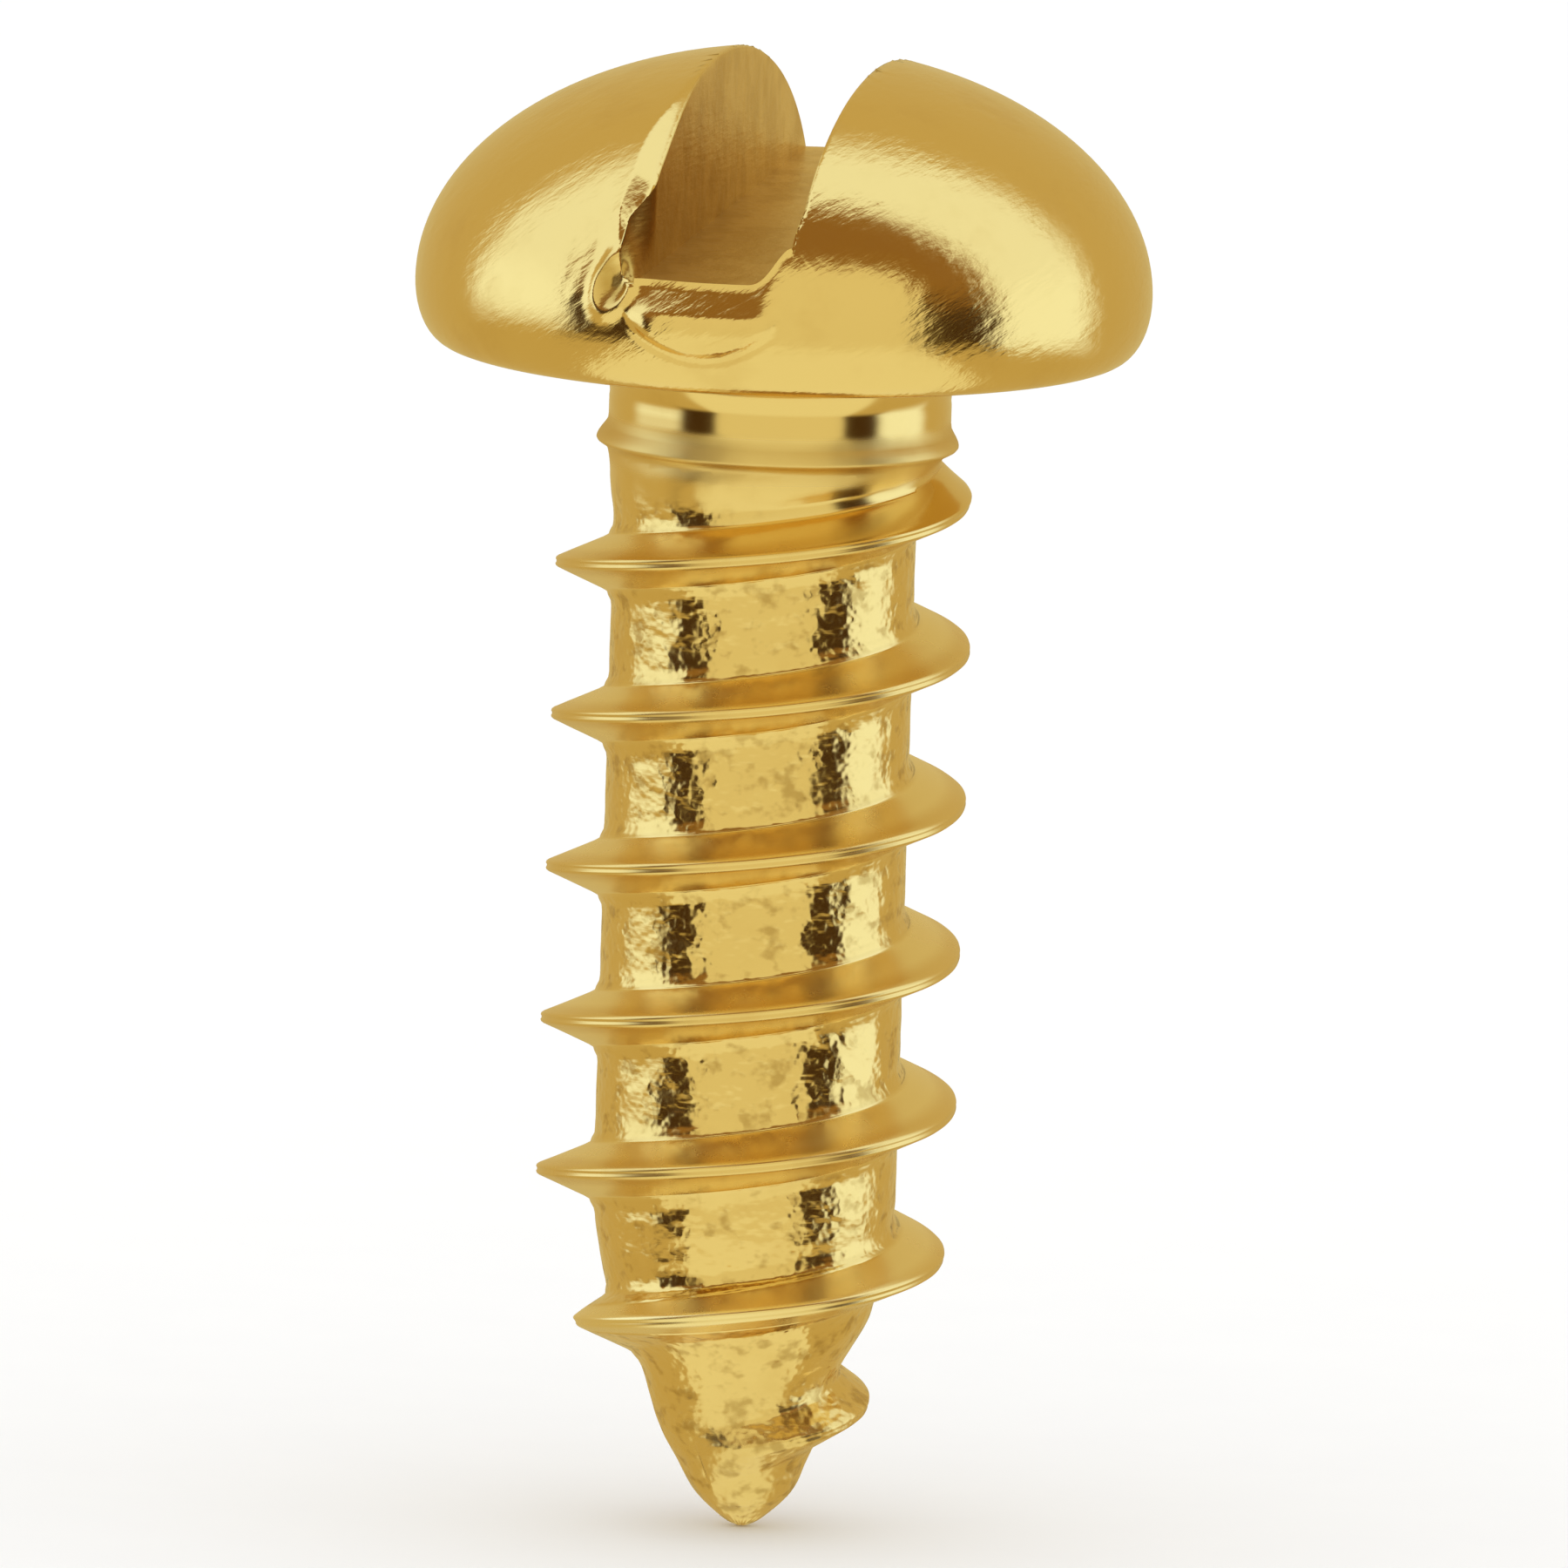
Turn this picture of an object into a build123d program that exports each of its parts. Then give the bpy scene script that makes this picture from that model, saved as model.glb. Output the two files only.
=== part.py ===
"""A slotted round-head screw with a full-length spaced thread and a gimlet point, in millimetres.

The screw stands on its point. The origin is on the shank's axis in the plane under the head, +Z runs up through
the head, and the slot runs along Y. The whole screw is one piece of cold-formed wire, so it is one solid.
"""

import os
from math import cos, radians, sin, tan

from build123d import *

# Head, a dome on a rounded rim, struck a little off the shank's axis
head_radius = 3.045
head_height = 2.50
widest_level = 0.52  # height of the head's widest circle above its underside
face_radius = 2.75  # where the flat underside meets the rounded rim
head_shift = 0.10  # along +X, square to the slot

# Slot, sawn across the head by a blade that left the floor lower at the -Y end
slot_width = 1.31
slot_shift = 0.12  # along +X from the head's own axis
slot_floor = 1.11  # height of the floor above the underside, at the middle of the head
slot_tilt = 4.0  # degrees
slot_reach = head_radius + 1.0  # half the length of the cut, past both sides of the head

# Neck and collar, between the head and the thread
fillet_radius = 1.90  # where the neck's fillet meets the underside of the head, clear of the thread
neck_radius = 1.41
neck_level = -0.58
collar_radius = 1.50
collar_level = -0.77
foot_radius = 1.37  # the shank where it meets the collar
foot_level = -1.45  # the shank has narrowed to the core here

# Shank and point
core_radius = 1.25
length = 9.84  # from the underside of the head to the end of the point
core_outline = [  # (distance under the head, core radius) over the point
    (7.00, core_radius),
    (8.00, 1.08),
    (8.55, 0.80),
    (9.05, 0.65),
    (9.45, 0.47),
]
tip_radius = 0.04  # the end of the point, which is a short blunt cone

# Thread, right-handed
major_radius = 1.725
pitch = 1.27
root_width = 0.52  # along the axis, where the flanks meet the core
crest_width = 0.10
first_crest = 1.239  # distance under the head of the topmost crest on the +X side
crest_outline = [  # (distance under the head, crest radius) over the point
    (7.00, major_radius),
    (7.55, 1.66),
    (8.20, 1.36),
    (8.75, 1.10),
    (9.40, 0.55),
    (9.55, 0.36),
]
runout_turns = 0.40  # the thread rises out of the core over this part of a turn
runout_start = -0.36  # turns after the topmost crest on the +X side
thread_end = 9.50  # distance under the head where the thread has sunk into the point
sink = 0.10  # how far the thread's solid reaches into the core
steps_per_turn = 16


def radius_at(depth, outline):
    """An outline's radius at a distance under the head, on a curve that is smooth through its points."""
    if depth <= outline[0][0]:
        return outline[0][1]
    slopes = [(b[1] - a[1]) / (b[0] - a[0]) for a, b in zip(outline, outline[1:])]
    tangents = [0.0] + [(a + b) / 2 for a, b in zip(slopes, slopes[1:])] + [slopes[-1]]
    for i, (a, b) in enumerate(zip(outline, outline[1:])):
        if depth <= b[0]:
            span = b[0] - a[0]
            t = (depth - a[0]) / span
            start_share = 2 * t**3 - 3 * t**2 + 1
            start_pull = (t**3 - 2 * t**2 + t) * span * tangents[i]
            end_pull = (t**3 - t**2) * span * tangents[i + 1]
            return a[1] * start_share + b[1] * (1 - start_share) + start_pull + end_pull
    return outline[-1][1]


def section_at(turn):
    """The thread's section at one place along it, as (radius, z) from the lower root to the upper one."""
    depth = first_crest + pitch * turn
    rise = min(max((turn - runout_start) / runout_turns, 0.0), 1.0)
    rise = rise * rise * (3 - 2 * rise)
    core = radius_at(depth, core_outline)
    sunk = core - sink / 2
    crest = sunk + max(radius_at(depth, crest_outline) - sunk, 0.0) * rise
    share = max(crest - core, 0.0) / (major_radius - core_radius)
    half_root = (crest_width + (root_width - crest_width) * share) / 2
    return [
        (radius_at(depth + half_root, core_outline) - sink, -depth - half_root),
        (crest, -depth - crest_width / 2),
        (crest, -depth + crest_width / 2),
        (radius_at(depth - half_root, core_outline) - sink, -depth + half_root),
    ]


def thread_solid():
    """The thread alone: two flanks, a narrow crest, an inner face in the core and two small ends."""
    end_turn = (thread_end - first_crest) / pitch
    steps = round((end_turn - runout_start) * steps_per_turn)
    turns = [runout_start + (end_turn - runout_start) * i / steps for i in range(steps + 1)]
    edges = []
    for corner in range(4):
        places = []
        for turn in turns:
            radius, z = section_at(turn)[corner]
            angle = radians(-360 * turn)
            places.append((radius * cos(angle), radius * sin(angle), z))
        edges.append(Spline(*places))
    sides = [Face.make_surface_from_curves(a, b) for a, b in zip(edges, edges[1:] + edges[:1])]
    ends = [Face(Polyline(*[edge @ at for edge in edges], close=True)) for at in (0, 1)]
    return Solid(Shell(sides + ends))


def at_depth(outline):
    """An outline's points as (x, y) in the XZ plane."""
    return [(radius, -depth) for depth, radius in outline]


thread = thread_solid()

with BuildPart() as screw:
    # Shank: core, point and the foot of the collar
    with BuildSketch(Plane.XZ):
        with BuildLine():
            point = Spline(*at_depth(core_outline), tangents=[(0, -1), (-1, -1)])
            cone = Polyline(point @ 1, (tip_radius, -length), (0, -length))
            core = Line((core_radius, -core_outline[0][0]), (core_radius, foot_level))
            foot = TangentArc(core @ 1, (foot_radius, collar_level), tangent=core % 1)
            Polyline(foot @ 1, (0, collar_level), cone @ 1)
        make_face()
    revolve(axis=Axis.Z)

    # Head and neck, about the head's own axis
    head_plane = Plane.XZ.shift_origin((head_shift, 0, 0))
    with BuildSketch(head_plane):
        with BuildLine():
            crown = EllipticalCenterArc((0, widest_level), head_radius, head_height - widest_level, arc_size=90)
            Spline((face_radius, 0), (head_radius, widest_level), tangents=[(1, 0), (0, 1)])
            Line((fillet_radius, 0), (face_radius, 0))
            flare = Spline((neck_radius, neck_level), (fillet_radius, 0), tangents=[(0, 1), (1, 0.3)])
            Polyline(flare @ 0, (collar_radius, collar_level), (0, collar_level), crown @ 1)
        make_face()
    revolve(axis=Axis((head_shift, 0, 0), (0, 0, 1)))

    # Thread
    add(thread)

    # Slot
    drop = slot_reach * tan(radians(slot_tilt))
    with BuildSketch(Plane.YZ.offset(head_shift + slot_shift)):
        with BuildLine():
            Polyline(
                (-slot_reach, slot_floor - drop),
                (slot_reach, slot_floor + drop),
                (slot_reach, head_height + 1),
                (-slot_reach, head_height + 1),
                close=True,
            )
        make_face()
    extrude(amount=slot_width / 2, both=True, mode=Mode.SUBTRACT)

screw.part.label = "screw"
os.makedirs("parts", exist_ok=True)
export_step(screw.part, "parts/screw.step")
box = screw.part.bounding_box()
print(f"screw: {box.size.X:.2f} x {box.size.Y:.2f} x {box.size.Z:.2f} mm, volume {screw.part.volume:.2f} mm3")
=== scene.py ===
# %% [markdown]
# # A slotted round-head brass screw
#
# The screw is one piece of cold-formed brass wire: a domed head with a sawn slot, a short neck with a
# thin collar, a shank with a coarse rolled thread, and a gimlet point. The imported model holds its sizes
# and its place. This script makes the surface that is seen: the same screw in a much finer mesh, with the
# marks of its making and handling, and a worn brass finish.
#
# Everything is modelled in millimetres, because a screw this small in metres brings Blender's edit tools
# near their rounding limits. The finished piece is scaled to metres at the end, and that scale is
# applied.

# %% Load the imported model
import math
from math import cos, pi, radians, sin, sqrt, tau

import bpy
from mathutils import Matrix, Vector, noise


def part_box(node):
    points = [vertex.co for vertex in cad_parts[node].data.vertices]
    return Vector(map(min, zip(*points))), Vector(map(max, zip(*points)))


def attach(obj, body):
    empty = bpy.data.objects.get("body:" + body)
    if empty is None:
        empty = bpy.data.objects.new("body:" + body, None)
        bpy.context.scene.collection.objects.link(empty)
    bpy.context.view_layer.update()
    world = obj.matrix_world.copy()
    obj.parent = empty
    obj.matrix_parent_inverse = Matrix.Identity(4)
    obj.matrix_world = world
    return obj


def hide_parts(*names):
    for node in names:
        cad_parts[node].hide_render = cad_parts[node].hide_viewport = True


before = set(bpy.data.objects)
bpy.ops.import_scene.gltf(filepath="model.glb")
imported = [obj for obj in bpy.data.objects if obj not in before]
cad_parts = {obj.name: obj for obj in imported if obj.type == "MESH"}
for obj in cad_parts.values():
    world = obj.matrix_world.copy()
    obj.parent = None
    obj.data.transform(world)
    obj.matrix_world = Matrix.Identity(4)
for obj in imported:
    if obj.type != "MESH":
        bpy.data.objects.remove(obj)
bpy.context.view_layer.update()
low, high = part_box("screw")
MM = 0.001
print("screw stands from", round(low.z / MM, 2), "to", round(high.z / MM, 2), "mm")

# %% [markdown]
# ## The sizes
#
# The frame gives the overall sizes: how far the point lies under the head, and the head's radius. The
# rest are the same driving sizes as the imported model's, in millimetres, with the origin on the shank's
# axis in the plane under the head. A distance under the head is called a depth here.

# %% Sizes
length = -low.z / MM
head_radius = (high.y - low.y) / 2 / MM
head_height = 2.50
widest_level = 0.52
face_radius = 2.75
head_shift = 0.10

slot_width = 1.31
slot_shift = 0.12
slot_left = slot_shift - slot_width / 2
slot_right = slot_shift + slot_width / 2
slot_floor = 1.11
slot_tilt = radians(4.0)

neck_radius = 1.41
neck_depth = 0.58
collar_radius = 1.50
collar_depth = 0.77

core_radius = 1.25
major_radius = 1.725
pitch = 1.27
first_crest = 1.239
core_outline = [
    (neck_depth, neck_radius),
    (collar_depth, collar_radius),
    (0.84, 1.40),
    (1.05, 1.32),
    (1.45, core_radius),
    (7.00, core_radius),
    (8.00, 1.08),
    (8.55, 0.80),
    (9.05, 0.65),
    (9.28, 0.54),
    (9.52, 0.42),
    (9.75, 0.19),
    (9.81, 0.10),
    (length, 0.02),
]
crest_outline = [(7.00, major_radius), (7.55, 1.66), (8.20, 1.36), (8.75, 1.11), (8.95, 0.96), (9.25, 0.58)]
point_bend = 0.06
print("length under the head", round(length, 2), "mm, head", round(2 * head_radius, 2), "mm across")

# %% [markdown]
# ## The camera
#
# A long lens far away shows a screw with almost no perspective. It looks a little down on the head, and
# its slight roll makes the screw lean.

# %% Camera
view_turn = radians(14.0)
view_rise = radians(8.6)
view_roll = math.atan(0.0307)
view_height = 12.94 * MM
aim_right, aim_up = 0.223 * MM, -3.59 * MM
lens, sensor = 1500.0, 36.0

ahead = Vector((-sin(view_turn) * cos(view_rise), cos(view_turn) * cos(view_rise), -sin(view_rise)))
right = Vector((cos(view_turn), sin(view_turn), 0))
up = right.cross(ahead)
rolled_right = right * cos(view_roll) + up * sin(view_roll)
rolled_up = up * cos(view_roll) - right * sin(view_roll)

bpy.ops.object.camera_add()
camera = bpy.context.object
camera.name = "camera"
camera.data.lens = lens
camera.data.sensor_width = sensor
camera.data.clip_start = 0.01
camera.data.clip_end = 4.0
distance = view_height * lens / sensor
turn = camera.matrix_world.to_3x3()
turn.col[0], turn.col[1], turn.col[2] = rolled_right, rolled_up, -ahead
camera.matrix_world = turn.to_4x4()
camera.location = right * aim_right + up * aim_up - ahead * distance
bpy.context.scene.camera = camera
print("camera", round(distance, 3), "m away")

# %% [markdown]
# ## Nodes as expressions
#
# A shader is easier to read as arithmetic. This class wraps a socket, and each operator adds its Math
# node. The node method adds any other node: first its settings, then the values or links of its sockets.

# %% Wires
class Wire:
    """A shader socket that takes part in Python expressions."""

    def __init__(self, tree, socket=None):
        self.tree = tree
        self.socket = socket

    def node(self, kind, settings, inputs, out=0):
        made = self.tree.nodes.new(kind)
        for name, value in settings.items():
            if name == "stops":
                ramp = made.color_ramp
                while len(ramp.elements) < len(value):
                    ramp.elements.new(1.0)
                for stop, (place, colour) in zip(ramp.elements, value):
                    stop.position = place
                    stop.color = colour
            else:
                setattr(made, name, value)
        for name, value in inputs.items():
            if isinstance(value, Wire):
                self.tree.links.new(value.socket, made.inputs[name])
            else:
                made.inputs[name].default_value = value
        return Wire(self.tree, made.outputs[out] if made.outputs else None)

    def math(self, operation, *values):
        return self.node("ShaderNodeMath", {"operation": operation}, dict(enumerate(values)))

    def __add__(self, other):
        return self.math("ADD", self, other)

    def __sub__(self, other):
        return self.math("SUBTRACT", self, other)

    def __rsub__(self, other):
        return self.math("SUBTRACT", other, self)

    def __mul__(self, other):
        return self.math("MULTIPLY", self, other)

    def __truediv__(self, other):
        return self.math("DIVIDE", self, other)

    __radd__ = __add__
    __rmul__ = __mul__

    def step(self, start, end):
        """0 below start and 1 above end, smooth between."""
        settings = {"interpolation_type": "SMOOTHSTEP"}
        return self.node("ShaderNodeMapRange", settings, {"Value": self, "From Min": start, "From Max": end})

    def mix(self, first, second):
        """The first colour where this is 0 and the second where it is 1."""
        return self.node("ShaderNodeMix", {"data_type": "RGBA"}, {0: self, 6: first, 7: second}, 2)


# %% [markdown]
# ## The studio
#
# Polished metal shows what is around it, so the light is built as a room. Each direction from the screw
# is measured in three ways: how far it turns from the camera's side, how high it points, and on which
# side it lies.

# %% Directions in the room
world = bpy.data.worlds.new("studio")
bpy.context.scene.world = world
world.use_nodes = True
world.node_tree.nodes.clear()
room = Wire(world.node_tree)
direction = room.node("ShaderNodeTexCoord", {}, {}, 0)


def along(axis):
    """How far the direction points along an axis, from -1 to 1."""
    return room.node("ShaderNodeVectorMath", {"operation": "DOT_PRODUCT"}, {0: direction, 1: tuple(axis)}, 1)


def power(wire, exponent):
    return room.math("POWER", wire, exponent)


across = along(right)
sideways = room.math("ABSOLUTE", across)
upwards = along((0, 0, 1))
rising = room.math("MAXIMUM", upwards, 0.0)
sinking = room.math("MAXIMUM", -0.25 - upwards, 0.0)
towards_camera = along((sin(view_turn), -cos(view_turn), 0)) + sinking * 1.2
spread = room.math("SQRT", sideways * sideways + rising * rising)
squared_spread = power(power(sideways, 4.0) + power(rising, 4.0), 0.25)
turned = room.math("ARCTAN2", spread, towards_camera) * (180 / pi)
print("room measured with", len(world.node_tree.nodes), "nodes")

# %% [markdown]
# A warm panel with rounded corners stands behind the camera. Then comes a dark gap, which gives a round
# shank its two dark stripes, and then a brighter and cooler hoop of light. The back of the room is dim.
# Each zone is a share from 0 to 1 of the angle turned, in degrees, and the hoop starts a little later
# overhead.

# %% Zones of the room
panel_edge = (41, 47)
hoop_start = (66, 76)
hoop_end = (106, 120)
later_overhead = 10

overhead = rising / spread
panel = 1 - (turned * squared_spread / spread).step(*panel_edge)
hoop = (turned - overhead * overhead * later_overhead).step(*hoop_start)
behind = turned.step(*hoop_end)
above_floor = upwards.step(-0.42, -0.20)
on_right = across.step(-0.1, 0.1)
lit_side = on_right * upwards.step(-0.50, -0.22) + (1 - on_right) * upwards.step(-0.30, -0.02)
print("panel to", panel_edge[0], "degrees, hoop from", hoop_start[0], "to", hoop_end[0], "degrees")

# %% [markdown]
# Only reflections see this room. The camera sees plain white, and the floor gets even white light.

# %% Colours of the room
dim_back = (0.65, 0.52, 0.225, 1.0)
panel_light = above_floor.mix((0.97, 0.965, 0.71, 1.0), (0.87, 0.82, 0.53, 1.0))
hoop_light = rising.step(0.1, 0.5).mix((1.12, 1.29, 1.36, 1.0), (1.04, 1.18, 1.22, 1.0))
dark_gap = rising.step(0.05, 0.45).mix((0.06, 0.028, 0.004, 1.0), (0.30, 0.155, 0.03, 1.0))
glow = above_floor.mix(dim_back, dark_gap)
glow = panel.mix(glow, panel_light)
glow = hoop.mix(glow, dim_back)
glow = (hoop * (1 - behind) * lit_side).mix(glow, hoop_light)

seen = room.node("ShaderNodeLightPath", {}, {}, 0)
mirrored = room.node("ShaderNodeLightPath", {}, {}, 3)
floor_light = (1.13, 1.13, 1.13, 1.0)
glow = mirrored.mix(floor_light, glow)
glow = seen.mix(glow, (1.0, 1.0, 1.0, 1.0))
shine = room.node("ShaderNodeBackground", {}, {"Color": glow, "Strength": 1.0})
room.node("ShaderNodeOutputWorld", {}, {"Surface": shine})
bpy.context.scene.view_settings.view_transform = "Standard"
print("studio made of", len(world.node_tree.nodes), "nodes")

# %% [markdown]
# The screw stands on its point on a sheet of white paper. The sheet takes its shadow but isn't mirrored
# in it, because the room already has its own floor.

# %% Floor
floor_reach = 1.5
bpy.ops.object.select_all(action="DESELECT")
bpy.ops.mesh.primitive_circle_add(vertices=96, radius=floor_reach, fill_type="NGON", location=(0, 0, low.z))
floor = bpy.context.object
floor.name = "floor"
bpy.ops.object.transform_apply(location=True, rotation=True, scale=True)
floor.visible_glossy = False
paper = bpy.data.materials.new("white paper")
paper.use_nodes = True
paper.node_tree.nodes.clear()
sheet = Wire(paper.node_tree)
sheet_place = sheet.node("ShaderNodeTexCoord", {}, {}, 3)
fibres = sheet.node("ShaderNodeTexNoise", {}, {"Vector": sheet_place, "Scale": 900.0, "Detail": 4.0})
white = fibres.mix((0.90, 0.90, 0.90, 1.0), (0.92, 0.92, 0.915, 1.0))
matt = sheet.node("ShaderNodeBsdfPrincipled", {}, {"Base Color": white, "Roughness": 0.9})
sheet.node("ShaderNodeOutputMaterial", {}, {"Surface": matt})
floor.data.materials.append(paper)
print("floor at", round(low.z / MM, 2), "mm, out to", floor_reach, "m")

# %% [markdown]
# ## Shapes by formula
#
# Three small functions shape everything: an S curve, a bump, and a smooth curve through the points of an
# outline.

# %% Curves
def smooth(share):
    """0 to 1 along an S curve."""
    share = min(max(share, 0.0), 1.0)
    return share * share * (3 - 2 * share)


def bell(value, centre, width):
    """A bump of height 1."""
    return math.exp(-(((value - centre) / width) ** 2))


def pulls_along(outline):
    """The slope of an outline's curve at each point: flat at a turn, so that the curve doesn't overshoot."""
    slopes = [(b[1] - a[1]) / (b[0] - a[0]) for a, b in zip(outline, outline[1:])]
    pulls = [0.0]
    for a, b in zip(slopes, slopes[1:]):
        pulls.append(0.0 if a * b <= 0 else 2 * a * b / (a + b))
    return pulls + [slopes[-1]]


def radius_at(depth, outline):
    """An outline's radius at a depth, on a curve that is smooth through its points."""
    if depth <= outline[0][0]:
        return outline[0][1]
    pulls = pulls_along(outline)
    for i, (a, b) in enumerate(zip(outline, outline[1:])):
        if depth <= b[0]:
            span = b[0] - a[0]
            t = (depth - a[0]) / span
            start = 2 * t**3 - 3 * t**2 + 1
            bend = (t**3 - 2 * t**2 + t) * span * pulls[i] + (t**3 - t**2) * span * pulls[i + 1]
            return a[1] * start + b[1] * (1 - start) + bend
    return outline[-1][1]


print("core radius half way down the point", round(radius_at(8.4, core_outline), 2), "mm")

# %% [markdown]
# The shank is round except for the thread, so its whole surface is one radius for each angle and depth:
# the core's outline, plus the thread's height where a crest passes. Rolling has left shallow dimples on
# the core and small nicks on the crests, and the collar is flattened at the front and back.

# %% Thread
crest_half = 0.050
root_half = 0.235
fillet_half = 0.34
runout_start, runout_turns = -0.36, 0.40
dimple_height, dimples_per_mm = 0.0040, 5.5
nick_height, nicks_per_mm = 0.010, 2.5
collar_wear = 0.08


def thread_height(offset):
    """The share of the thread's full height at a distance along the axis from its crest."""
    away = abs(offset)
    if away <= crest_half:
        return 1.0 - 0.025 * smooth(1 - away / 0.02) - 0.05 * smooth((away - 0.03) / 0.02)
    if away <= root_half:
        return 0.95 - 0.87 * (away - crest_half) / (root_half - crest_half)
    return 0.08 * (1 - smooth((away - root_half) / (fillet_half - root_half)))


def rolled_marks(angle, z, offset, rise):
    """The dimples on the core and the nicks on the crest at one place on the shank."""
    rolled = Vector((cos(angle), sin(angle), z))
    dimples = dimple_height * noise.fractal(rolled * dimples_per_mm, 1.0, 2.0, 2)
    nicks = nick_height * noise.noise(rolled * nicks_per_mm)
    return dimples * smooth((abs(offset) - 0.28) / 0.1) + nicks * smooth((0.12 - abs(offset)) / 0.08) * rise


def shank_radius(angle, z):
    """The radius of the threaded shank at an angle about the axis and a height."""
    depth = -z
    turns = (depth - first_crest) / pitch + angle / tau
    crest_turn = round(turns) - angle / tau
    crest_depth = first_crest + pitch * crest_turn
    rise = smooth((crest_turn - runout_start) / runout_turns)
    proud = max(radius_at(crest_depth, crest_outline) - radius_at(crest_depth, core_outline), 0.0)
    if crest_depth > crest_outline[-1][0]:
        proud = 0.0
    offset = depth - crest_depth
    radius = radius_at(depth, core_outline) + proud * rise * thread_height(offset)
    flattened = collar_wear * sin(angle) ** 2 * bell(depth, collar_depth, 0.12)
    return radius + rolled_marks(angle, z, offset, rise) - flattened


print("thread stands", round(shank_radius(0, -first_crest) - core_radius, 2), "mm proud of the core")

# %% [markdown]
# ## The threaded shank
#
# A thread is one small section repeated along a helix. The section of a single turn is drawn once by
# extruding a point, an Array modifier repeats it down the shank, and a Screw modifier turns it once about
# the axis while it rises by one pitch. Each turn then ends where the next one starts, so the rows of the
# mesh follow the crest.

# %% Profile of one turn
def alone(piece):
    """Selects one piece and nothing else."""
    bpy.ops.object.select_all(action="DESELECT")
    piece.select_set(True)
    bpy.context.view_layer.objects.active = piece


def draw_line(name, points):
    """A new piece with one open line of edges, extruded from point to point."""
    bpy.ops.object.select_all(action="DESELECT")
    bpy.ops.mesh.primitive_plane_add(size=0.01, location=points[0])
    piece = bpy.context.object
    piece.name = name
    bpy.ops.object.transform_apply(location=True, rotation=True, scale=True)
    bpy.ops.object.mode_set(mode="EDIT")
    bpy.ops.mesh.merge(type="CENTER")
    for a, b in zip(points, points[1:]):
        step = [q - p for p, q in zip(a, b)]
        bpy.ops.mesh.extrude_region_move(TRANSFORM_OT_translate={"value": step})
    bpy.ops.object.mode_set(mode="OBJECT")
    return piece


def apply(piece, kind, **settings):
    """Adds a modifier to a piece and applies it."""
    alone(piece)
    modifier = piece.modifiers.new(kind.title(), kind)
    for name, value in settings.items():
        setattr(modifier, name, value)
    bpy.ops.object.modifier_apply(modifier=modifier.name)


steps_round = 200
crest_rows = [-0.050, -0.036, -0.020, -0.008, 0.008, 0.020, 0.036, 0.050]
flank_rows = [0.072 + 0.024 * i for i in range(8)]
land_rows = 16
land_start = flank_rows[-1] + 0.03
land_step = (pitch - 2 * land_start) / land_rows
rows = [-pitch / 2]
rows += [-land_start - land_step * i for i in range(land_rows // 2 - 1, -1, -1)]
rows += [-f for f in reversed(flank_rows)] + crest_rows + flank_rows
rows += [land_start + land_step * i for i in range(land_rows // 2 + 1)]
turns_down = 8
lowest_crest = -(first_crest + turns_down * pitch)
shank = draw_line("shank", [(major_radius, 0, lowest_crest + row) for row in rows])
apply(shank, "ARRAY", use_relative_offset=False, use_constant_offset=True,
      constant_offset_displace=(0, 0, pitch), count=turns_down + 1,
      use_merge_vertices=True, merge_threshold=0.001)
apply(shank, "SCREW", axis="Z", angle=tau, screw_offset=pitch, steps=steps_round, render_steps=steps_round)
print("swept shank", len(shank.data.vertices), "points")

# %% [markdown]
# ## Trimming the shank
#
# The sweep starts and ends in steps one pitch high. Two bisects cut it square, one just under the collar
# and one just above the end of the point. The cut also adds a point where each helical row crosses it, so
# the ring is tidied: those points are pulled onto the nearest upright edge of the mesh and merged.

# %% Trim
joint_z = -0.86
tip_z = -length + 0.004
weld = 1e-4


def bisect(height, normal):
    """Cuts the piece in edit mode at a height and clears the side that the normal points to."""
    bpy.ops.mesh.select_all(action="SELECT")
    bpy.ops.mesh.bisect(plane_co=(0, 0, height), plane_no=(0, 0, normal), clear_outer=True)


def tidy_ring(piece, height):
    """Moves each point of the ring at a height onto the nearest of the evenly spaced angles."""
    spacing = tau / steps_round
    for vertex in piece.data.vertices:
        if abs(vertex.co.z - height) < weld:
            radius = math.hypot(vertex.co.x, vertex.co.y)
            angle = round(math.atan2(vertex.co.y, vertex.co.x) / spacing) * spacing
            vertex.co = (radius * cos(angle), radius * sin(angle), height)


def merge(piece):
    """Welds the points that meet and turns the normals outward."""
    alone(piece)
    bpy.ops.object.mode_set(mode="EDIT")
    bpy.ops.mesh.select_all(action="SELECT")
    bpy.ops.mesh.remove_doubles(threshold=weld)
    bpy.ops.mesh.normals_make_consistent(inside=False)
    bpy.ops.object.mode_set(mode="OBJECT")


merge(shank)
bpy.ops.object.mode_set(mode="EDIT")
bisect(joint_z, 1)
bisect(tip_z, -1)
bpy.ops.object.mode_set(mode="OBJECT")
for vertex in shank.data.vertices:
    angle = math.atan2(vertex.co.y, vertex.co.x)
    vertex.co.x, vertex.co.y = major_radius * cos(angle), major_radius * sin(angle)
for height in (joint_z, tip_z):
    tidy_ring(shank, height)
merge(shank)
print("trimmed shank", len(shank.data.vertices), "points")

# %% [markdown]
# ## The head and neck
#
# The head is a turned shape, so its outline is drawn as a line from the neck over the rim to the crown
# and spun about the axis, with as many steps as the shank has. The crown is half an ellipse, and the rim
# a smaller one.

# %% Head outline
def arc(centre, half_width, half_height, start, end, count):
    """Points on part of an ellipse in the XZ plane, with angles in degrees."""
    angles = [radians(start + (end - start) * i / count) for i in range(count + 1)]
    return [(centre[0] + half_width * cos(a), 0, centre[1] + half_height * sin(a)) for a in angles]


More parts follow.
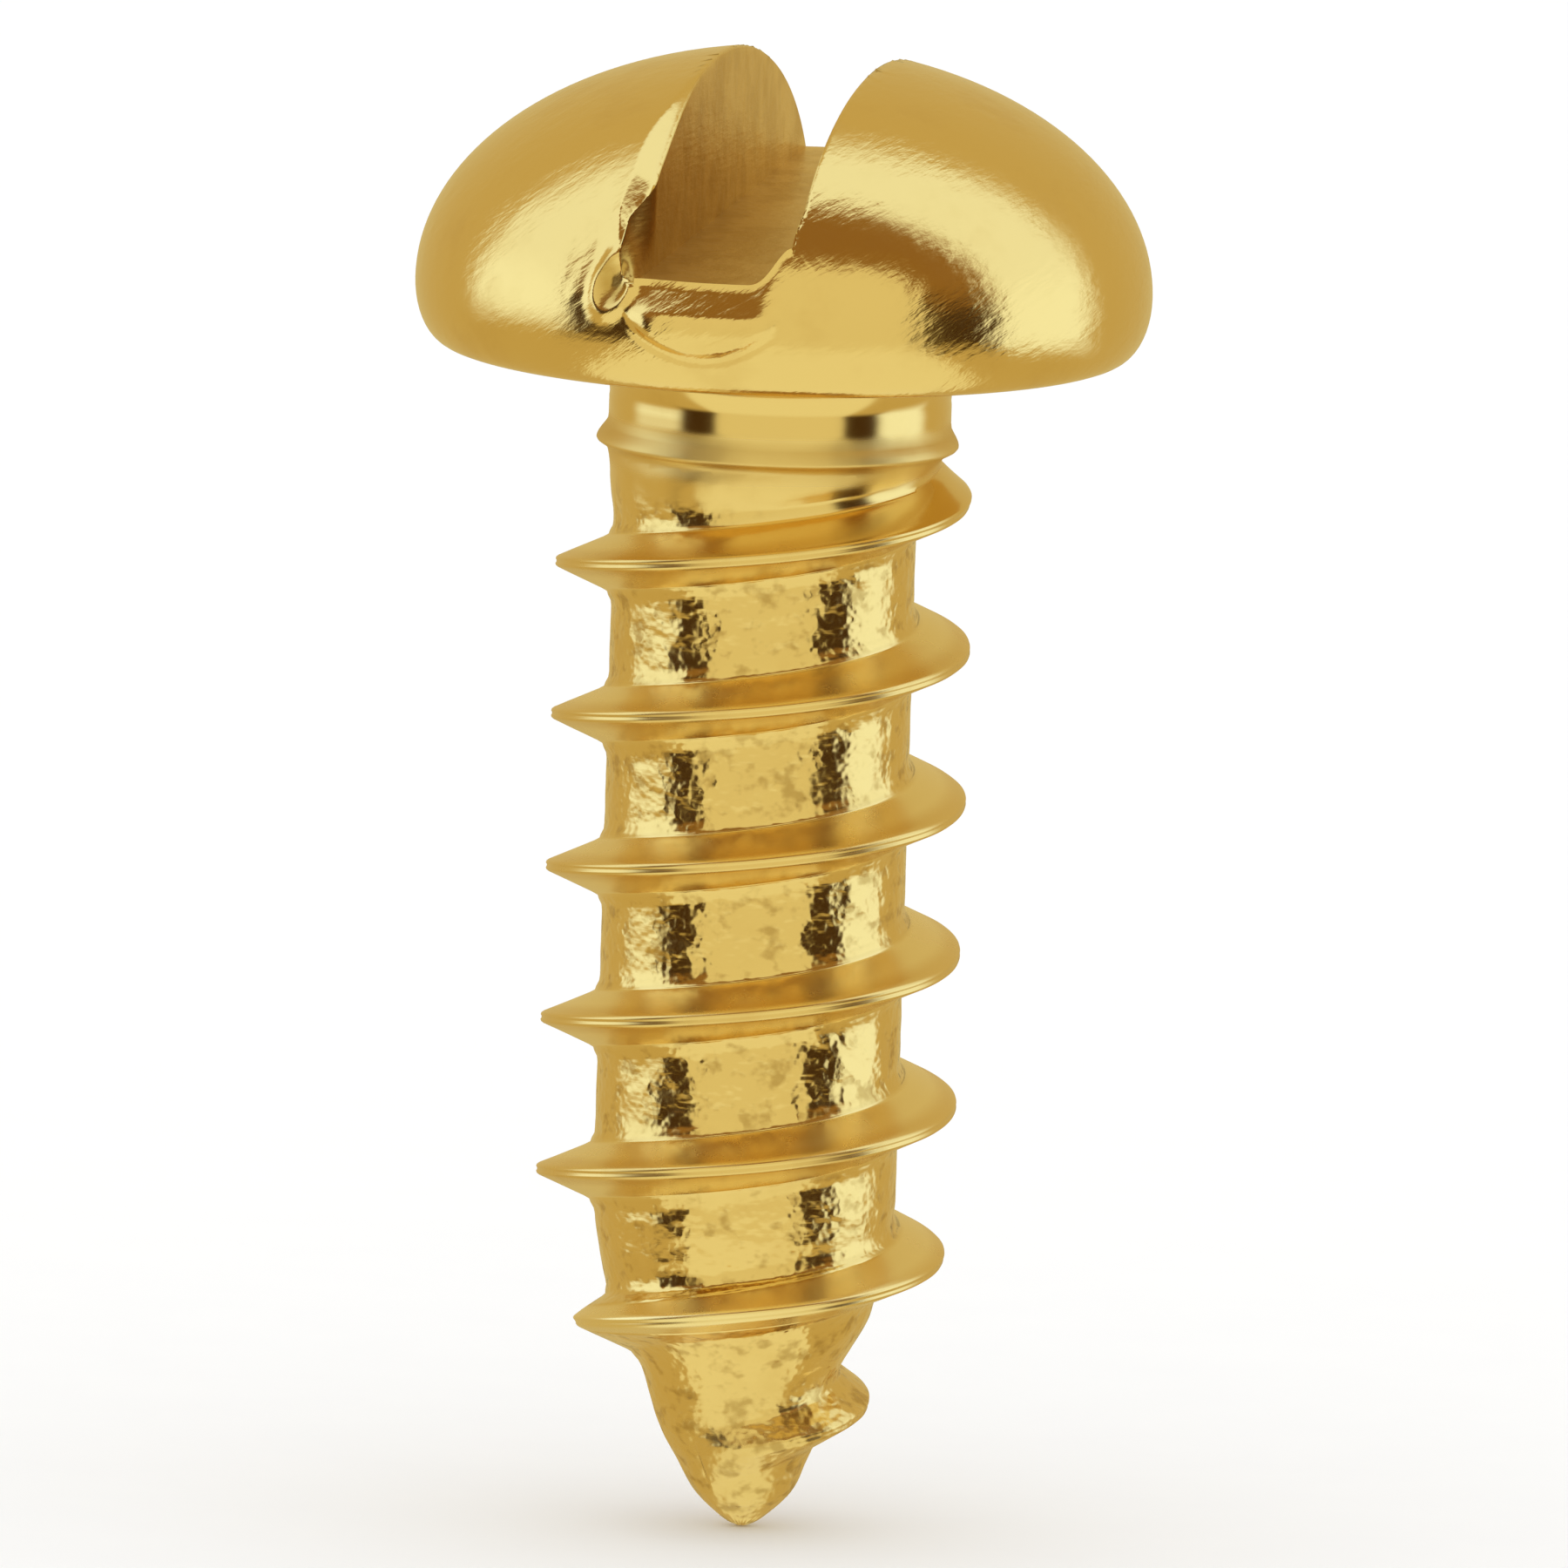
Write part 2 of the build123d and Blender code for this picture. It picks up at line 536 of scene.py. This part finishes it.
neck_top = 1.88
flare_start = 0.38
collar_levels = (joint_z, -0.825, -0.80, -0.785, -0.77, -0.755, -0.735, -0.70, -0.66, -0.62)
neck_levels = (-0.57, -0.52, -0.47, -0.42)
neck_swell = 0.004
face_radii = (1.95, 2.05, 2.20, 2.35, 2.50, 2.62, 2.70)
outline = [(radius_at(-z, core_outline), 0, z) for z in collar_levels]
outline += [(neck_radius + neck_swell, 0, z) for z in neck_levels]
outline += arc((neck_top, -flare_start), neck_top - neck_radius, flare_start - 0.01, 180, 94, 12)
outline += [(r, 0, 0) for r in face_radii]
outline += arc((face_radius, widest_level), head_radius - face_radius, widest_level, -90, 0, 12)
outline += arc((0, widest_level), head_radius, head_height - widest_level, 2.25, 90, 39)
outline[-1] = (0, 0, head_height)
head = draw_line("head", outline)
alone(head)
bpy.ops.object.mode_set(mode="EDIT")
bpy.ops.mesh.select_all(action="SELECT")
bpy.ops.mesh.spin(steps=steps_round, angle=tau, center=(0, 0, 0), axis=(0, 0, 1))
bpy.ops.object.mode_set(mode="OBJECT")
merge(head)
print("head", len(head.data.vertices), "points,", len(head.data.polygons), "faces")

# %% [markdown]
# ## The slot
#
# A slitting saw cuts the slot, and its walls and floor are flat. A boolean could cut it, but leaves one
# big face on each wall. Here the dome is bisected along both walls and along the floor, and the strip
# between is extruded down onto the floor in a few steps, so each wall has rows of points that the wear
# can move.

# %% Selecting and cutting
def floor_at(y):
    """The height of the slot's floor."""
    return slot_floor + y * math.tan(slot_tilt)


def in_slot(x):
    """True between the slot's walls."""
    return slot_left < x < slot_right


def pick(piece, test):
    """Goes into edit mode with only those faces selected whose centre passes the test."""
    alone(piece)
    bpy.ops.object.mode_set(mode="EDIT")
    bpy.ops.mesh.select_mode(type="FACE")
    bpy.ops.mesh.select_all(action="DESELECT")
    bpy.ops.object.mode_set(mode="OBJECT")
    for face in piece.data.polygons:
        face.select = test(face.center)
    bpy.ops.object.mode_set(mode="EDIT")


def divide(piece, test, cuts):
    """Subdivides the faces that pass the test."""
    pick(piece, test)
    bpy.ops.mesh.subdivide(number_cuts=cuts)
    bpy.ops.object.mode_set(mode="OBJECT")


def cut(piece, test, place, normal):
    """Bisects the faces that pass the test."""
    pick(piece, test)
    bpy.ops.mesh.bisect(plane_co=place, plane_no=normal)
    bpy.ops.object.mode_set(mode="OBJECT")


print("slot floor from", round(floor_at(-head_radius), 2), "to", round(floor_at(head_radius), 2), "mm up")

# %% [markdown]
# The dome gets a finer mesh round the slot's front end, where the wear is. The points that are moved down
# carry a mark, "sawn", which the finish reads later.

# %% Cut the slot
wall_rows = (0.02, 0.05, 0.10, 0.20, 0.32, 0.46, 0.60, 0.74, 0.88, 1.0)

divide(head, lambda c: -1.2 < c.x < 1.2 and c.y < -1.1 and 0.15 < c.z < 2.2, 2)
for side in (slot_left, slot_right):
    cut(head, lambda c: c.z > 0.6 and abs(c.x - side) < 0.2, (side, 0, 0), (1, 0, 0))
cut(head, lambda c: in_slot(c.x) and abs(c.z - floor_at(c.y)) < 0.2 and abs(c.y) > 2.0,
    (0, 0, slot_floor), (0, -sin(slot_tilt), cos(slot_tilt)))
head.data.attributes.new("sawn", "FLOAT", "POINT")
pick(head, lambda c: in_slot(c.x) and c.z > floor_at(c.y))
done = 0.0
for share in wall_rows:
    bpy.ops.mesh.extrude_region_move()
    bpy.ops.object.mode_set(mode="OBJECT")
    sawn = head.data.attributes["sawn"].data
    for vertex in head.data.vertices:
        if vertex.select:
            vertex.co.z += (floor_at(vertex.co.y) - vertex.co.z) * (share - done) / (1 - done)
            sawn[vertex.index].value = 1.0
    done = share
    bpy.ops.object.mode_set(mode="EDIT")
bpy.ops.object.mode_set(mode="OBJECT")
merge(head)
divide(head, lambda c: -0.95 < c.x < -0.40 and c.y < -2.1 and 0.6 < c.z < 1.5, 1)
print("slotted head", len(head.data.vertices), "points")

# %% [markdown]
# ## Wear on the slot
#
# A screwdriver has slipped out of this slot more than once. Each mark it left is a small formula that
# moves the points of the mesh, so it is real shape and not only shading. Some of the marks follow the
# dome, so its radius and its height come first.

# %% The dome
def dome_radius(z):
    """The head's radius at a height."""
    if z < widest_level:
        return face_radius + (head_radius - face_radius) * sqrt(max(1 - (1 - z / widest_level) ** 2, 0.0))
    return head_radius * sqrt(max(1 - ((z - widest_level) / (head_height - widest_level)) ** 2, 0.0))


def dome_height(x, y):
    """The height of the dome over a place."""
    share = 1 - (x * x + y * y) / head_radius**2
    return widest_level + (head_height - widest_level) * sqrt(max(share, 0.0))


print("dome is", round(dome_height(slot_left, -2), 2), "mm high beside the slot, 2 mm from the middle")

# %% [markdown]
# The metal under the slot's mouth is pushed out into a rounded lip with a crease round it, and the left
# corner is torn into a hollow with a raised rim.

# %% Pushed and torn metal
mouth_z = floor_at(-2.95)
lip_lowest, lip_centre, lip_half = 0.315, 0.05, 0.70
crease_depth, crease_rim, belly_height, undercut_depth = 0.065, 0.022, 0.02, 0.11
hollow_x, hollow_z = -0.71, 0.90
hollow_depth, hollow_rim = 0.045, 0.034


def pushed_lip(x, z):
    """How far the metal under the slot's mouth stands out from the dome."""
    sideways = (x - lip_centre) / lip_half
    bottom = lip_lowest + 0.33 * sideways**2
    if abs(sideways) > 1.05 or z > mouth_z + 0.05:
        return 0.0
    crease = crease_depth * smooth((z - bottom) / 0.08) - crease_rim * bell(z, bottom - 0.03, 0.035)
    belly = belly_height * bell(z, 0.58, 0.12)
    undercut = undercut_depth * min(max((z - 0.68) / (mouth_z - 0.68), 0.0), 1.0)
    return (crease + belly - undercut) * smooth((1.05 - abs(sideways)) / 0.50)


def hollow_distance(x, z):
    """The distance from the middle of the torn hollow beside the slot's left corner, 1 at its edge."""
    leaning = 0.25 * (z - hollow_z)
    return math.hypot((x - hollow_x - leaning) / 0.12, (z - hollow_z) / 0.19)


def hollow(x, z):
    """How far the metal stands out round the torn hollow, or lies below the dome in it."""
    away = hollow_distance(x, z)
    return hollow_rim * bell(away, 1.30, 0.42) - hollow_depth * smooth(1.3 - away)


print("lip under the slot's mouth stands out", round(pushed_lip(lip_centre, 0.6), 3), "mm")

# %% [markdown]
# The left edge of the slot is flattened into a long facet and torn away near the front. At the right
# corner the metal is dragged up into a smear.

# %% Flattened and smeared edges
on_plane = 0.001
facet_width, facet_slope = 0.18, 0.75
torn_width, torn_reach = 0.14, 0.40
edge_round, edge_reach = 0.014, 0.05
smear_start, smear_height, smear_reach = 0.40, 0.30, 0.3


def flattened(x, y, z, wall_share):
    """Moves a point for the facet and the tear. Its share of the wall's height is None outside the wall."""
    facet = facet_width * smooth((-0.9 - y) / 1.2) * smooth((y + 2.95) / 0.6)
    torn = torn_width * smooth((-2.25 - y) / 0.40)
    if wall_share is not None:
        return x - torn * smooth(wall_share), z - facet_slope * facet * wall_share
    gap = slot_left - x
    lower = z - facet_slope * max(facet - gap, 0.0)
    return x - torn * smooth(1 - gap / torn_reach) * smooth((lower - 0.8) / 0.2), lower


def edge_shift(x):
    """How far a point near the slot's edge moves away from the slot, which rounds the edge."""
    if x > slot_right - on_plane:
        return edge_round * smooth(1 - (x - slot_right) / edge_reach)
    if x < slot_left + on_plane:
        return -edge_round * smooth(1 - (slot_left - x) / edge_reach)
    return 0.0


def smeared(x, y, z, floor_z, near_dome):
    """Moves a point at the slot's lower right corner up along the dome."""
    dragged = smooth((x - smear_start) / 0.38) ** 1.5 * smooth(1 - (x - slot_right) / smear_reach)
    level = smooth((z - mouth_z + 0.30) / 0.30) * max(1 - max(z - floor_z, 0.0) / 0.6, 0.0)
    lift = smear_height * dragged * level * smooth((-y - 2.2) / 0.4)
    shrink = 1 + (dome_radius(z + lift) / dome_radius(z) - 1) * near_dome
    return x * shrink, y * shrink, z + lift


print("facet", facet_width, "mm wide, smear", smear_height, "mm high at most")

# %% [markdown]
# Every point of the head above its rim goes through the same steps, in the order in which the marks
# overlap. A point that the saw reached is deep, and the others on the slot's walls are its lips.

# %% Wear the head
burr_height, burr_width = 0.04, 0.07
ragged_height, ragged_per_mm = 0.005, 7


def worn(x, y, z, deep):
    """The place of a point of the head after all the wear on the slot."""
    floor_z = floor_at(y)
    radius = math.hypot(x, y)
    inside = dome_radius(min(z, head_height)) - radius
    near_dome = smooth(1 - inside / 0.15)
    on_left = abs(x - slot_left) < on_plane and z > floor_z - on_plane
    on_right = abs(x - slot_right) < on_plane and z > floor_z - on_plane
    on_floor = in_slot(x) and abs(z - floor_z) < on_plane
    if on_left:
        tall = max(dome_height(x, y) - floor_z, 0.05)
        x, z = flattened(x, y, z, min((z - floor_z) / tall, 1.0))
    elif x < slot_left and z > 0.8:
        x, z = flattened(x, y, z, None)
    if z > floor_z and not deep:
        x += edge_shift(x)
    if (on_left or on_right) and not deep:
        y += 0.6 * edge_round * (1 if y < 0 else -1)
        z -= 0.6 * edge_round
    if y < -2.0 and z < 1.3:
        ragged = ragged_height * noise.noise(Vector((x, y, z)) * ragged_per_mm) * bell(z, 0.85, 0.35)
        outward = 1 + (pushed_lip(x, z) + hollow(x, z) + ragged) * near_dome / radius
        x, y = x * outward, y * outward
    if y < -2.2 and smear_start < x < slot_right + smear_reach:
        x, y, z = smeared(x, y, z, floor_z, near_dome)
    if on_floor and y < -2.5:
        z += burr_height * smooth(1 - inside / burr_width)
    return x, y, z


sawn = head.data.attributes["sawn"].data
for vertex in head.data.vertices:
    x, y, z = vertex.co
    mark = sawn[vertex.index]
    if z > 0.2:
        vertex.co = worn(x, y, z, mark.value > 0.5)
    if y < -2.0:
        at_mouth = dome_radius(min(z, head_height)) - math.hypot(x, y) < 0.004
        torn_open = 0.8 * smooth(1.5 - hollow_distance(x, z))
        mark.value = max(0.0 if at_mouth else mark.value, torn_open)
print("worn head,", sum(mark.value > 0.5 for mark in sawn), "points of sawn or torn metal")

# %% [markdown]
# ## Joining
#
# The head and the shank meet in one ring of points, so they are joined and merged there. Each point of
# the shank and the neck then takes its radius from the formula, and the neck bends over to meet the head,
# which the header struck a little off the axis. The end of the point is bent a little too.

# %% Join and shape
neck_bend_end, neck_bend_reach = 1.30, 0.70
point_bend_start, point_bend_reach = 8.7, 0.9

alone(head)
shank.select_set(True)
bpy.ops.object.join()
screw = head
screw.name = "brass_screw"
for vertex in screw.data.vertices:
    x, y, z = vertex.co
    if z < -neck_depth + 0.001:
        angle = math.atan2(y, x) % tau
        radius = shank_radius(angle, z)
        vertex.co.x, vertex.co.y = radius * cos(angle), radius * sin(angle)
merge(screw)
bpy.ops.object.mode_set(mode="EDIT")
bpy.ops.mesh.select_mode(type="VERT")
bpy.ops.mesh.select_all(action="SELECT")
bpy.ops.mesh.dissolve_degenerate(threshold=weld)
bpy.ops.mesh.select_all(action="DESELECT")
bpy.ops.mesh.select_non_manifold()
bpy.ops.mesh.merge(type="CENTER")
bpy.ops.object.mode_set(mode="OBJECT")
for vertex in screw.data.vertices:
    depth = -vertex.co.z
    vertex.co.x += head_shift * smooth((neck_bend_end - depth) / neck_bend_reach)
    vertex.co.x += point_bend * smooth((depth - point_bend_start) / point_bend_reach)
print("screw", len(screw.data.vertices), "points,", len(screw.data.polygons), "faces")

# %% [markdown]
# The whole screw is scaled to metres once, with its scale applied. Edges sharper than 60 degrees, such as
# the slot's, stay sharp in the shading.

# %% Finish the mesh
screw.scale = (MM, MM, MM)
alone(screw)
bpy.ops.object.transform_apply(location=True, rotation=True, scale=True)
bpy.ops.object.shade_smooth_by_angle(angle=radians(60))
triangles = sum(len(face.vertices) - 2 for face in screw.data.polygons)
print("screw surface", triangles, "triangles")

# %% [markdown]
# ## The finish
#
# The screw is plain drawn brass, bright but handled. The material works on the screw's own coordinates,
# turned into millimetres, so the scale of each texture can be read from its numbers.

# %% Coordinates in millimetres
brass = bpy.data.materials.new("brass")
brass.use_nodes = True
brass.node_tree.nodes.clear()
metal = Wire(brass.node_tree)
own_place = metal.node("ShaderNodeTexCoord", {}, {}, 3)
place = metal.node("ShaderNodeVectorMath", {"operation": "SCALE"}, {0: own_place, "Scale": 1 / MM})
to_right, to_back, level = [metal.node("ShaderNodeSeparateXYZ", {}, {0: place}, i) for i in range(3)]
from_axis = metal.math("SQRT", to_right * to_right + to_back * to_back)


def grain(per_mm, stretch=(1.0, 1.0, 1.0), detail=3.0, rough=0.6, of=place):
    """Noise with so many features to a millimetre, more along an axis where stretch is larger."""
    stretched = metal.node("ShaderNodeVectorMath", {"operation": "MULTIPLY"}, {0: of, 1: stretch})
    settings = {"Vector": stretched, "Scale": per_mm, "Detail": detail, "Roughness": rough}
    return metal.node("ShaderNodeTexNoise", {}, settings)


print("material starts with", len(brass.node_tree.nodes), "nodes")

# %% [markdown]
# Each part of the screw has its own finish, so these shares say where a place is. The slot's comes from
# the mark that was left on its points.

# %% Parts of the screw
below_collar = 1 - level.step(-1.3, -0.9)
on_land = (1 - from_axis.step(1.26, 1.31)) * below_collar
on_thread = from_axis.step(1.27, 1.34) * (1 - level.step(-1.5, -1.0))
on_flank = on_thread * (1 - from_axis.step(1.50, 1.66))
on_head = level.step(-0.1, 0.05)
at_point = 1 - level.step(-9.3, -8.3)
at_collar = level.step(-1.05, -0.85) * (1 - level.step(-0.62, -0.50))
in_cut = metal.node("ShaderNodeAttribute", {"attribute_name": "sawn"}, {}, 2)
print("parts told apart with", len(brass.node_tree.nodes), "nodes")

# %% [markdown]
# The lands between the threads are dented and pitted. The head has fine slanted marks from handling,
# stronger in some places. Stains lie over everything, and smudges in the slot.

# %% Textures
dents = grain(4.2, (1.0, 1.0, 1.25), 2.0, 0.55)
pits = grain(4.8, (1.0, 1.0, 1.2), 2.5).step(0.51, 0.70) * on_land
lines = grain(3.0, (1.0, 1.0, 10.0), 2.0)
stain = grain(1.3, detail=5.0).step(0.48, 0.75)
tilt = {"Vector": place, "Angle": radians(35)}
slant = metal.node("ShaderNodeVectorRotate", {"rotation_type": "Y_AXIS"}, tilt)
hatch = grain(4.0, (1.0, 1.0, 4.0), 3.0, of=slant)
handled = grain(1.1).step(0.35, 0.65)
smudge = grain(2.2, (1.0, 1.0, 0.6), 3.0).step(0.40, 0.62)
upper_back = (to_back * 0.45 + level).step(0.4, 2.6)
saw_lines = grain(4.0, (1.0, 1.0, 6.0))
print("textures made with", len(brass.node_tree.nodes), "nodes")

# %% [markdown]
# The heights of the bumps are in millimetres. The flanks are paler, because light bounces between them.
# The cut and torn metal is browner and rougher than the rest: browner low down at the front, less so high at
# the back, and blotchy.

# %% Brass
clean, stained = (0.83, 0.61, 0.24, 1.0), (0.75, 0.52, 0.18, 1.0)
pitted, pale, brown = (0.48, 0.30, 0.08, 1.0), (0.95, 0.78, 0.40, 1.0), (0.55, 0.345, 0.08, 1.0)
# Browner in the cut and torn metal, most low down at the front, least high at the back, with noise blotches.
browner_in_cut = in_cut * (0.80 - upper_back * 0.60 + smudge * 0.38)

colour = (stain * 0.5).mix(clean, stained)
colour = (pits * 0.65).mix(colour, pitted)
colour = (on_flank * 0.8).mix(colour, pale)
colour = browner_in_cut.mix(colour, brown)
roughness = 0.14 + stain * 0.06 + pits * 0.08 + in_cut * 0.20
roughness = roughness + on_thread * 0.12 + at_point * 0.14 + at_collar * 0.28
height = on_land * (dents * (0.026 + at_point * 0.014) + lines * 0.001) - pits * 0.002
height = height + on_head * (hatch * (0.003 + handled * 0.005) + grain(9.0) * 0.0012)
height = height + in_cut * (saw_lines * 0.004 + grain(3.0) * 0.006)
surface = metal.node("ShaderNodeBump", {}, {"Strength": 1.0, "Distance": MM, "Height": height})
shader = metal.node("ShaderNodeBsdfPrincipled", {}, {
    "Base Color": colour, "Metallic": 1.0, "Roughness": roughness, "Normal": surface})
metal.node("ShaderNodeOutputMaterial", {}, {"Surface": shader})
screw.data.materials.clear()
screw.data.materials.append(brass)
print("brass made of", len(brass.node_tree.nodes), "nodes")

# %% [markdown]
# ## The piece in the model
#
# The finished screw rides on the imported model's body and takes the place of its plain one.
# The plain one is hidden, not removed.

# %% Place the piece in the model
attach(screw, "root")
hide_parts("screw")
